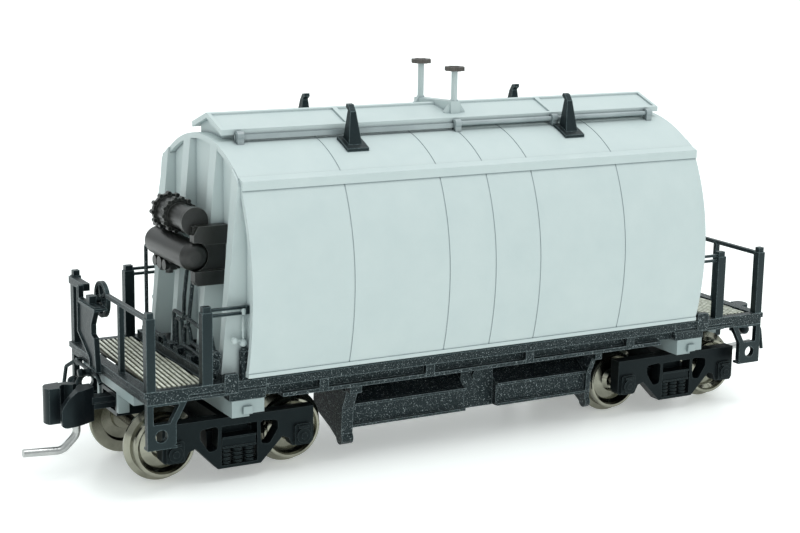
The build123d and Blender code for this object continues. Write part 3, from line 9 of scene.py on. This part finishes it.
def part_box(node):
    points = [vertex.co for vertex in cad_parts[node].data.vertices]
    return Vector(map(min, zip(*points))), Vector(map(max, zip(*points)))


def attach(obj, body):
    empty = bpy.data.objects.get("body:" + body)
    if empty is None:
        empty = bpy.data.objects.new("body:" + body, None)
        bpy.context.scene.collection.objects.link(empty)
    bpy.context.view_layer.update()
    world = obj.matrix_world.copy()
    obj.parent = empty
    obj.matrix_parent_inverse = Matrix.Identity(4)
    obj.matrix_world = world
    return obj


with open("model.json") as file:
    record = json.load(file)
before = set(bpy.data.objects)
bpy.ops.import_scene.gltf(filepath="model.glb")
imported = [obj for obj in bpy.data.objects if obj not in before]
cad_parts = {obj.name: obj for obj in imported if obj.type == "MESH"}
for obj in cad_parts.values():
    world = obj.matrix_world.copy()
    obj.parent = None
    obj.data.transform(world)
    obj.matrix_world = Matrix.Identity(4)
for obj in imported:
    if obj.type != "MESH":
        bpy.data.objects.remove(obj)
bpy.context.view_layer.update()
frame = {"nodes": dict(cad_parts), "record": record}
nodes = frame["nodes"]

MM = 0.001

# camera
CAMERA_TARGET_MM = (-3.388, 0.0, 14.341)
CAMERA_DISTANCE_MM = 148.506
CAMERA_AZIMUTH_DEG = -29.5
CAMERA_ELEVATION_DEG = 12.133
CAMERA_ROLL_DEG = 0.993
CAMERA_SENSOR = 36.0
CAMERA_LENS = 77.4045

# corner fittings, in mm
IRON_INSET_FROM_RAIL_TOP = 0.55
IRON_LENGTH = 2.6
IRON_BEYOND_END = 0.05
CORNER_Y = 8.32
LOW_KNOB_Z = 11.3
HIGH_KNOB_Z = 11.55
KNOB_BAR_Z = 11.75
KNOB_SPACING = 0.72
LOW_KNOB_R = 0.31
HIGH_KNOB_R = 0.29
KNOB_ROWS = 7
TURNED_STEPS = 20
IRON_PROFILE = ((0, 0.08), (0.05, 0.09), (0.9, 0.09), (1.0, 0.15), (1.15, 0.09), (2.3, 0.08))
CAP_PROFILE = ((0, 0.12), (0.05, 0.2), (0.35, 0.22), (0.5, 0.18), (0.55, 0.08))
BAR_PROFILE = ((0, 0.12), (0.75, 0.12))

# air hoses, in mm: distance beyond the beam's face, distance sideways, height
BEAM_FACE_X = 30.45
HOSE_R = 0.2
HOSE_PATH = (
    (0, 2.9, 7.5),
    (0.5, 2.95, 7.4),
    (0.9, 3.1, 6.9),
    (1.0, 3.5, 6.1),
    (0.9, 4.3, 5.9),
    (0.7, 4.9, 6.3),
)
VALVE_PROFILE = (
    (0, 0.2), (0.05, 0.38), (0.5, 0.4), (0.55, 0.28), (0.9, 0.28), (0.95, 0.36), (1.3, 0.3),
)
GLAD_HAND_PROFILE = ((0, 0.2), (0.1, 0.42), (0.35, 0.5), (0.6, 0.42), (0.7, 0.15))

# floor and light
FLOOR_SIZE = 3.0
FLOOR_GLOW = 0.33
SKY_TILT = (0.15, 0.10, 0.80)
SKY_RANGE = (-0.25, 0.8)
SKY_STRENGTH = (0.38, 1.20)
LIGHT_AIM = (0, 0, 0.012)

# nodes whose finish differs from that of their slot
GRAINED_GLINTING = ("gates_", "side_sill_", "platform_", "brake_rigging")
RODS = ("latch_bar_",)
TANKS = ("air_reservoir", "brake_cylinder", "tank_brackets", "control_valve")


# ---------------------------------------------------------------- camera
def make_camera():
    """A camera that looks at the near side and the brake end from slightly above."""
    target = Vector(CAMERA_TARGET_MM) * MM
    distance = CAMERA_DISTANCE_MM * MM
    azimuth = math.radians(CAMERA_AZIMUTH_DEG)
    elevation = math.radians(CAMERA_ELEVATION_DEG)
    roll = math.radians(CAMERA_ROLL_DEG)
    back = Vector((
        math.sin(azimuth) * math.cos(elevation),
        -math.cos(azimuth) * math.cos(elevation),
        math.sin(elevation),
    ))
    right = Vector((math.cos(azimuth), math.sin(azimuth), 0.0))
    up = back.cross(right)
    right_rolled = right * math.cos(roll) + up * math.sin(roll)
    up_rolled = up * math.cos(roll) - right * math.sin(roll)
    data = bpy.data.cameras.new("camera")
    data.lens = CAMERA_LENS
    data.sensor_width = CAMERA_SENSOR
    data.clip_start = 0.01
    data.clip_end = 10.0
    camera = bpy.data.objects.new("camera", data)
    camera.matrix_world = Matrix((
        (right_rolled.x, up_rolled.x, back.x, (target + back * distance).x),
        (right_rolled.y, up_rolled.y, back.y, (target + back * distance).y),
        (right_rolled.z, up_rolled.z, back.z, (target + back * distance).z),
        (0, 0, 0, 1),
    ))
    bpy.context.scene.collection.objects.link(camera)
    bpy.context.scene.camera = camera


# ---------------------------------------------------------------- materials
def new_material(name):
    """An empty node material with a Principled shader; returns material, nodes, links, shader."""
    material = bpy.data.materials.new(name)
    material.use_nodes = True
    tree = material.node_tree
    shader = tree.nodes["Principled BSDF"]
    return material, tree.nodes, tree.links, shader


def object_coords(nodes_, links, scale=1.0, stretch=(1, 1, 1)):
    """Object-space coordinates in millimetres times scale."""
    coords = nodes_.new("ShaderNodeTexCoord")
    mapping = nodes_.new("ShaderNodeMapping")
    mapping.inputs["Scale"].default_value = tuple(1000.0 * scale * s for s in stretch)
    links.new(coords.outputs["Object"], mapping.inputs["Vector"])
    return mapping.outputs["Vector"]


def noise(nodes_, links, vector, scale, detail=4.0, roughness=0.55):
    node = nodes_.new("ShaderNodeTexNoise")
    node.inputs["Scale"].default_value = scale
    node.inputs["Detail"].default_value = detail
    node.inputs["Roughness"].default_value = roughness
    links.new(vector, node.inputs["Vector"])
    return node.outputs["Fac"]


def ramp(nodes_, links, value, low, high, low_at=0.3, high_at=0.7):
    node = nodes_.new("ShaderNodeValToRGB")
    node.color_ramp.elements[0].position = low_at
    node.color_ramp.elements[1].position = high_at
    node.color_ramp.elements[0].color = (*low, 1)
    node.color_ramp.elements[1].color = (*high, 1)
    links.new(value, node.inputs["Fac"])
    return node.outputs["Color"]


def bump(nodes_, links, height, strength, distance_mm, normal=None):
    node = nodes_.new("ShaderNodeBump")
    node.inputs["Strength"].default_value = strength
    node.inputs["Distance"].default_value = distance_mm * MM
    links.new(height, node.inputs["Height"])
    if normal is not None:
        links.new(normal, node.inputs["Normal"])
    return node.outputs["Normal"]


def map_range(nodes_, links, value, from_low, from_high, to_low, to_high):
    """The value carried from one range to another, clamped."""
    node = nodes_.new("ShaderNodeMapRange")
    node.inputs["From Min"].default_value = from_low
    node.inputs["From Max"].default_value = from_high
    node.inputs["To Min"].default_value = to_low
    node.inputs["To Max"].default_value = to_high
    links.new(value, node.inputs["Value"])
    return node.outputs["Result"]


def mix_colour(nodes_, links, factor, first, second):
    """Two colours, or colour outputs, mixed by a factor output."""
    node = nodes_.new("ShaderNodeMix")
    node.data_type = "RGBA"
    colours = [socket for socket in node.inputs if socket.type == "RGBA"]
    for socket, colour in zip(colours, (first, second)):
        if isinstance(colour, tuple):
            socket.default_value = (*colour, 1)
        else:
            links.new(colour, socket)
    links.new(factor, node.inputs["Factor"])
    return next(socket for socket in node.outputs if socket.type == "RGBA")


def edge_mask(nodes_, links, radius_mm):
    """One along the edges within the radius, zero on flats."""
    bevel = nodes_.new("ShaderNodeBevel")
    bevel.samples = 4
    bevel.inputs["Radius"].default_value = radius_mm * MM
    geometry = nodes_.new("ShaderNodeNewGeometry")
    dot = nodes_.new("ShaderNodeVectorMath")
    dot.operation = "DOT_PRODUCT"
    links.new(bevel.outputs["Normal"], dot.inputs[0])
    links.new(geometry.outputs["Normal"], dot.inputs[1])
    return map_range(nodes_, links, dot.outputs["Value"], 0.90, 0.995, 1.0, 0.0)


def moulded_plastic(
    name, low, high, rough=(0.42, 0.55), grain=0.35, grain_mm=0.012, specular=0.4,
    edge=None, edge_mm=0.07, glint_speck=None, glint_speck_from=0.60, crevice_shade=None, crevice_shade_mm=0.5,
    tint=(1, 1, 1),
):
    """Moulded plastic: faint mottling and a fine grain; if asked, pale specks painted as glints,
    painted shade in crevices, and edges lightened partly as wear and partly as painted highlight.
    """
    material, n, links, shader = new_material(name)
    vector = object_coords(n, links)
    mottling = noise(n, links, vector, 0.35, 5.0)
    colour = ramp(n, links, mottling, low, high)
    fine = noise(n, links, vector, 7.0, 3.0)
    # Pale specks scattered by noise: painted glints on the grained surface.
    if glint_speck is not None:
        glint_noise = noise(n, links, vector, 9.0, 2.0, 0.7)
        share = map_range(n, links, glint_noise, glint_speck_from, 0.74, 0.0, 1.0)
        colour = mix_colour(n, links, share, colour, glint_speck)
    # Painted shade: the colour is darkened towards the crevice colour where ambient occlusion
    # finds nearby surfaces.
    if crevice_shade is not None:
        hidden = n.new("ShaderNodeAmbientOcclusion")
        hidden.samples = 6
        hidden.inputs["Distance"].default_value = crevice_shade_mm * MM
        crevice = map_range(n, links, hidden.outputs["AO"], 0.35, 0.85, 1.0, 0.0)
        colour = mix_colour(n, links, crevice, colour, crevice_shade)
    # Edges lightened towards the edge colour and broken by noise: partly wear, partly painted
    # highlight.
    if edge is not None:
        worn_and_lit_edge = n.new("ShaderNodeMath")
        worn_and_lit_edge.operation = "MULTIPLY"
        links.new(edge_mask(n, links, edge_mm), worn_and_lit_edge.inputs[0])
        links.new(map_range(n, links, fine, 0.35, 0.6, 0.35, 1.0), worn_and_lit_edge.inputs[1])
        colour = mix_colour(n, links, worn_and_lit_edge.outputs["Value"], colour, edge)
    links.new(colour, shader.inputs["Base Color"])
    links.new(map_range(n, links, fine, 0.0, 1.0, rough[0], rough[1]), shader.inputs["Roughness"])
    uneven = noise(n, links, vector, 0.9, 2.0)
    soft = bump(n, links, uneven, 0.25, 0.03)
    links.new(bump(n, links, fine, grain, grain_mm, soft), shader.inputs["Normal"])
    shader.inputs["Specular IOR Level"].default_value = specular
    shader.inputs["Specular Tint"].default_value = (*tint, 1)
    return material


def turned_metal(name, low, high, rough=(0.16, 0.34), axis_scale=(0.4, 9.0, 0.4)):
    """Turned metal with fine tool marks and slight tarnish."""
    material, n, links, shader = new_material(name)
    vector = object_coords(n, links)
    streaks = noise(n, links, object_coords(n, links, 1.0, axis_scale), 1.6, 4.0)
    tarnish = noise(n, links, vector, 0.8, 5.0)
    links.new(ramp(n, links, tarnish, low, high), shader.inputs["Base Color"])
    links.new(
        map_range(n, links, streaks, 0.0, 1.0, rough[0], rough[1]), shader.inputs["Roughness"]
    )
    links.new(bump(n, links, streaks, 0.3, 0.008), shader.inputs["Normal"])
    shader.inputs["Metallic"].default_value = 1.0
    return material


def ribbed_tread(name):
    """Tread plate: pale rib tops over a dark ground between them."""
    material, n, links, shader = new_material(name)
    vector = object_coords(n, links)
    split = n.new("ShaderNodeSeparateXYZ")
    links.new(vector, split.inputs["Vector"])
    top_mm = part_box("tread_plate_brake")[1][2] / MM
    height = map_range(n, links, split.outputs["Z"], top_mm - 0.15, top_mm - 0.01, 0.0, 1.0)
    tread_mottle = noise(n, links, vector, 2.2, 4.0)
    tops = ramp(n, links, tread_mottle, (0.50, 0.52, 0.41), (0.90, 0.92, 0.80), 0.35, 0.60)
    dashes = n.new("ShaderNodeTexWave")
    dashes.inputs["Scale"].default_value = 0.42
    dashes.inputs["Distortion"].default_value = 1.5
    links.new(vector, dashes.inputs["Vector"])
    broken = map_range(n, links, dashes.outputs["Fac"], 0.1, 0.35, 0.75, 1.0)
    factor = n.new("ShaderNodeMath")
    factor.operation = "MULTIPLY"
    links.new(height, factor.inputs[0])
    links.new(broken, factor.inputs[1])
    # Dark below the rib tops and pale on them, chosen by height and broken by dashes.
    colour = mix_colour(n, links, factor.outputs["Value"], (0.075, 0.074, 0.055), tops)
    links.new(colour, shader.inputs["Base Color"])
    links.new(map_range(n, links, tread_mottle, 0.0, 1.0, 0.28, 0.55), shader.inputs["Roughness"])
    fine = noise(n, links, vector, 6.0, 3.0)
    links.new(bump(n, links, fine, 0.6, 0.02), shader.inputs["Normal"])
    shader.inputs["Specular IOR Level"].default_value = 0.5
    return material


def make_materials():
    # The edge colours given below lighten the edges: partly wear, partly painted highlight.
    black_low = (0.0015, 0.0035, 0.005)
    black_high = (0.006, 0.009, 0.011)
    cool = (0.70, 0.96, 1.0)
    # The crevice colours given below are painted shade in seams, crevices and gaps.
    return {
        "grey_body": moulded_plastic(
            "grey_body", (0.495, 0.578, 0.578), (0.528, 0.607, 0.604),
            rough=(0.34, 0.50), grain=0.3, grain_mm=0.010, specular=0.40,
            crevice_shade=(0.27, 0.33, 0.35), crevice_shade_mm=0.40,
        ),
        # Light grey like the body, darkened as painted shade for the frame's place under the
        # sill.
        "pale_frame": moulded_plastic(
            "pale_frame", (0.28, 0.35, 0.355), (0.32, 0.39, 0.39),
            rough=(0.30, 0.45), grain=0.4, grain_mm=0.012, specular=0.45,
            crevice_shade=(0.08, 0.11, 0.12), crevice_shade_mm=0.5,
        ),
        # Latch rods: the body's grey darkened as painted shade and made glossier than the body.
        "shade_darkened_grey_rod": moulded_plastic(
            "shade_darkened_grey_rod", (0.26, 0.31, 0.32), (0.36, 0.42, 0.43),
            rough=(0.16, 0.28), grain=0.3, grain_mm=0.010, specular=0.7,
            crevice_shade=(0.03, 0.04, 0.045), crevice_shade_mm=0.5,
        ),
        "black_plastic": moulded_plastic(
            "black_plastic", black_low, black_high,
            rough=(0.24, 0.50), grain=0.9, grain_mm=0.035, specular=0.38,
            edge=(0.15, 0.20, 0.21), edge_mm=0.09, tint=cool,
        ),
        "black_grain_glints": moulded_plastic(
            "black_grain_glints", black_low, black_high,
            rough=(0.20, 0.50), grain=1.0, grain_mm=0.10, specular=0.34,
            edge=(0.22, 0.27, 0.28), edge_mm=0.10,
            # The speck colour is painted glints on the grained surface.
            glint_speck=(0.48, 0.55, 0.56), glint_speck_from=0.59, tint=cool,
        ),
        "tank_black": moulded_plastic(
            "tank_black", (0.004, 0.005, 0.005), (0.012, 0.013, 0.011),
            rough=(0.30, 0.42), grain=0.6, grain_mm=0.02, specular=0.62,
            edge=(0.14, 0.15, 0.14), edge_mm=0.08,
        ),
        "truck_black": moulded_plastic(
            "truck_black", (0.0022, 0.0035, 0.0045), (0.006, 0.008, 0.009),
            rough=(0.28, 0.50), grain=0.6, grain_mm=0.02, specular=0.16,
            edge=(0.055, 0.068, 0.070), edge_mm=0.08, tint=cool,
        ),
        "coupler_black": moulded_plastic(
            "coupler_black", (0.003, 0.005, 0.007), (0.009, 0.012, 0.014),
            rough=(0.22, 0.42), grain=0.4, grain_mm=0.015, specular=0.26,
            edge=(0.11, 0.135, 0.14), edge_mm=0.08, tint=cool,
        ),
        "tread_silver": ribbed_tread("tread_silver"),
        "dark_wheel_paint": moulded_plastic(
            "dark_wheel_paint", (0.050, 0.045, 0.042), (0.13, 0.12, 0.11),
            rough=(0.5, 0.7), grain=0.8, grain_mm=0.03, specular=0.3,
            edge=(0.22, 0.20, 0.19), edge_mm=0.08,
        ),
        "wheel_nickel": turned_metal(
            "wheel_nickel", (0.21, 0.21, 0.17), (0.33, 0.33, 0.27), (0.10, 0.24)
        ),
        "axle_steel": turned_metal("axle_steel", (0.14, 0.13, 0.12), (0.26, 0.25, 0.23)),
        "pin_steel": turned_metal(
            "pin_steel", (0.34, 0.35, 0.35), (0.52, 0.53, 0.52), (0.2, 0.4), (3, 3, 3)
        ),
        "ballast_steel": turned_metal("ballast_steel", (0.25, 0.24, 0.23), (0.42, 0.41, 0.40)),
    }


def dress_nodes(materials):
    """Give every CAD node the material of its slot, or the finish listed for it above."""
    slots = {row["node"]: row["material_slot"] for row in frame["record"]["subparts"]}
    for name, node in nodes.items():
        slot = slots[name]
        if name.startswith(GRAINED_GLINTING):
            slot = "black_grain_glints"
        elif name.startswith(RODS):
            slot = "shade_darkened_grey_rod"
        elif name.startswith(TANKS):
            slot = "tank_black"
        node.data.materials.clear()
        node.data.materials.append(materials[slot])


# ---------------------------------------------------------------- small fittings
def turned_piece(name, material, profile, foot, along):
    """A piece of revolution: (distance, radius) pairs in mm along an axis from its foot."""
    mesh = bpy.data.meshes.new(name)
    shape = bmesh.new()
    axis = Vector(along).normalized()
    side = axis.orthogonal().normalized()
    other = axis.cross(side)
    rings = []
    for distance, radius in profile:
        centre = Vector(foot) + axis * distance
        ring = []
        for k in range(TURNED_STEPS):
            turn = 2 * math.pi * k / TURNED_STEPS
            spoke = side * math.cos(turn) + other * math.sin(turn)
            ring.append(shape.verts.new((centre + spoke * radius) * MM))
        rings.append(ring)
    for low_ring, high_ring in zip(rings, rings[1:]):
        for k in range(TURNED_STEPS):
            after = (k + 1) % TURNED_STEPS
            shape.faces.new((low_ring[k], low_ring[after], high_ring[after], high_ring[k]))
    shape.faces.new(list(reversed(rings[0])))
    shape.faces.new(rings[-1])
    for face in shape.faces:
        face.smooth = True
    shape.to_mesh(mesh)
    shape.free()
    piece = bpy.data.objects.new(name, mesh)
    bpy.context.scene.collection.objects.link(piece)
    piece.data.materials.append(material)
    return piece


def bent_wire(name, material, points, radius):
    """A wire through the points, in mm, with rounded bends."""
    curve = bpy.data.curves.new(name, "CURVE")
    curve.dimensions = "3D"
    curve.bevel_depth = radius * MM
    curve.bevel_resolution = 4
    curve.use_fill_caps = True
    spline = curve.splines.new("NURBS")
    spline.points.add(len(points) - 1)
    for point, place in zip(spline.points, points):
        point.co = (*(Vector(place) * MM), 1)
    spline.order_u = 3
    spline.use_endpoint_u = True
    piece = bpy.data.objects.new(name, curve)
    bpy.context.scene.collection.objects.link(piece)
    piece.data.materials.append(material)
    return piece


def ball(radius):
    """Profile of a knob of the given radius, for turned_piece."""
    rows = []
    for k in range(KNOB_ROWS + 1):
        angle = math.pi * k / KNOB_ROWS
        rows.append((radius * (1 - math.cos(angle)), max(0.02, radius * math.sin(angle))))
    return rows


def keep_on_wagon(piece):
    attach(piece, "wagon")


def make_corner(pale, label, end, side, rail_z):
    """A grab iron, the cap of the rail, and two knobs on a bar at one corner of the body."""
    x = end * (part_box("tank_body")[1][0] / MM + IRON_BEYOND_END)
    y = side * CORNER_Y
    up = (0, 0, 1)
    pieces = (
        turned_piece(f"grab_iron_{label}", pale, IRON_PROFILE, (x, y, rail_z - IRON_LENGTH), up),
        turned_piece(f"rail_cap_{label}", pale, CAP_PROFILE, (x, y, rail_z - 0.4), up),
        turned_piece(f"knob_low_{label}", pale, ball(LOW_KNOB_R), (x, y, LOW_KNOB_Z), up),
        turned_piece(
            f"knob_high_{label}", pale, ball(HIGH_KNOB_R),
            (x + end * KNOB_SPACING, y, HIGH_KNOB_Z), up,
        ),
        turned_piece(f"knob_bar_{label}", pale, BAR_PROFILE, (x, y, KNOB_BAR_Z), (end, 0, 0.15)),
    )
    for piece in pieces:
        keep_on_wagon(piece)


def make_hose(black, end_name, end):
    """An air hose that hangs from the end beam beside the coupler, with valve and coupling."""
    face = end * BEAM_FACE_X
    side = -end
    hose = bent_wire(
        f"air_hose_{end_name}", black,
        [(face + end * out, side * across, z) for out, across, z in HOSE_PATH],
        HOSE_R,
    )
    _, valve_y, valve_z = HOSE_PATH[0]
    valve = turned_piece(
        f"hose_valve_{end_name}", black, VALVE_PROFILE,
        (face - end * 0.3, side * valve_y, valve_z), (end, 0, 0),
    )
    hose_end_y = HOSE_PATH[-1][1]
    glad_hand = turned_piece(
        f"glad_hand_{end_name}", black, GLAD_HAND_PROFILE,
        (face + end * 0.65, side * hose_end_y, 6.0), (0, side, 0.7),
    )
    for piece in (hose, valve, glad_hand):
        keep_on_wagon(piece)


def make_fittings(materials):
    """Corner fittings at all four corners and an air hose at each end."""
    rail_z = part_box("side_rail_near_brake")[1][2] / MM - IRON_INSET_FROM_RAIL_TOP
    for end_name, end in (("brake", -1), ("plain", 1)):
        for side_name, side in (("near", -1), ("far", 1)):
            make_corner(materials["grey_body"], f"{side_name}_{end_name}", end, side, rail_z)
        make_hose(materials["coupler_black"], end_name, end)


# ---------------------------------------------------------------- stage and light
def make_floor():
    mesh = bpy.data.meshes.new("floor")
    shape = bmesh.new()
    bmesh.ops.create_grid(shape, x_segments=1, y_segments=1, size=FLOOR_SIZE)
    shape.to_mesh(mesh)
    shape.free()
    floor = bpy.data.objects.new("floor", mesh)
    bpy.context.scene.collection.objects.link(floor)
    material, n, links, shader = new_material("floor_white")
    vector = object_coords(n, links, 0.01)
    mottling = noise(n, links, vector, 1.0)
    white = ramp(n, links, mottling, (0.88, 0.90, 0.89), (0.91, 0.93, 0.92))
    links.new(white, shader.inputs["Base Color"])
    shader.inputs["Roughness"].default_value = 0.32
    shader.inputs["Specular IOR Level"].default_value = 0.4
    shader.inputs["Emission Color"].default_value = (0.97, 1.0, 0.98, 1)
    shader.inputs["Emission Strength"].default_value = FLOOR_GLOW
    floor.data.materials.append(material)


def area_light(name, place, size, power):
    """A round light at a place, which points at the middle of the wagon."""
    data = bpy.data.lights.new(name, "AREA")
    data.shape = "DISK"
    data.size = size
    data.energy = power
    light = bpy.data.objects.new(name, data)
    place = Vector(place)
    light.location = place
    light.rotation_euler = (Vector(LIGHT_AIM) - place).to_track_quat("-Z", "Y").to_euler()
    bpy.context.scene.collection.objects.link(light)


def make_light():
    """White studio: a sky that is brighter above, a broad key light and a weak fill."""
    world = bpy.data.worlds.new("studio")
    world.use_nodes = True
    n = world.node_tree.nodes
    links = world.node_tree.links
    background = n["Background"]
    background.inputs["Color"].default_value = (0.95, 1.0, 1.0, 1)
    coords = n.new("ShaderNodeTexCoord")
    tilt = n.new("ShaderNodeVectorMath")
    tilt.operation = "DOT_PRODUCT"
    tilt.inputs[1].default_value = SKY_TILT
    links.new(coords.outputs["Generated"], tilt.inputs[0])
    links.new(
        map_range(n, links, tilt.outputs["Value"], *SKY_RANGE, *SKY_STRENGTH),
        background.inputs["Strength"],
    )
    bpy.context.scene.world = world
    area_light("key", (0.07, -0.09, 0.36), 0.20, 0.40)
    area_light("fill", (-0.30, -0.20, 0.10), 0.22, 0.05)
    bpy.context.scene.view_settings.view_transform = "Standard"


make_camera()
materials = make_materials()
dress_nodes(materials)
make_fittings(materials)
make_floor()
make_light()
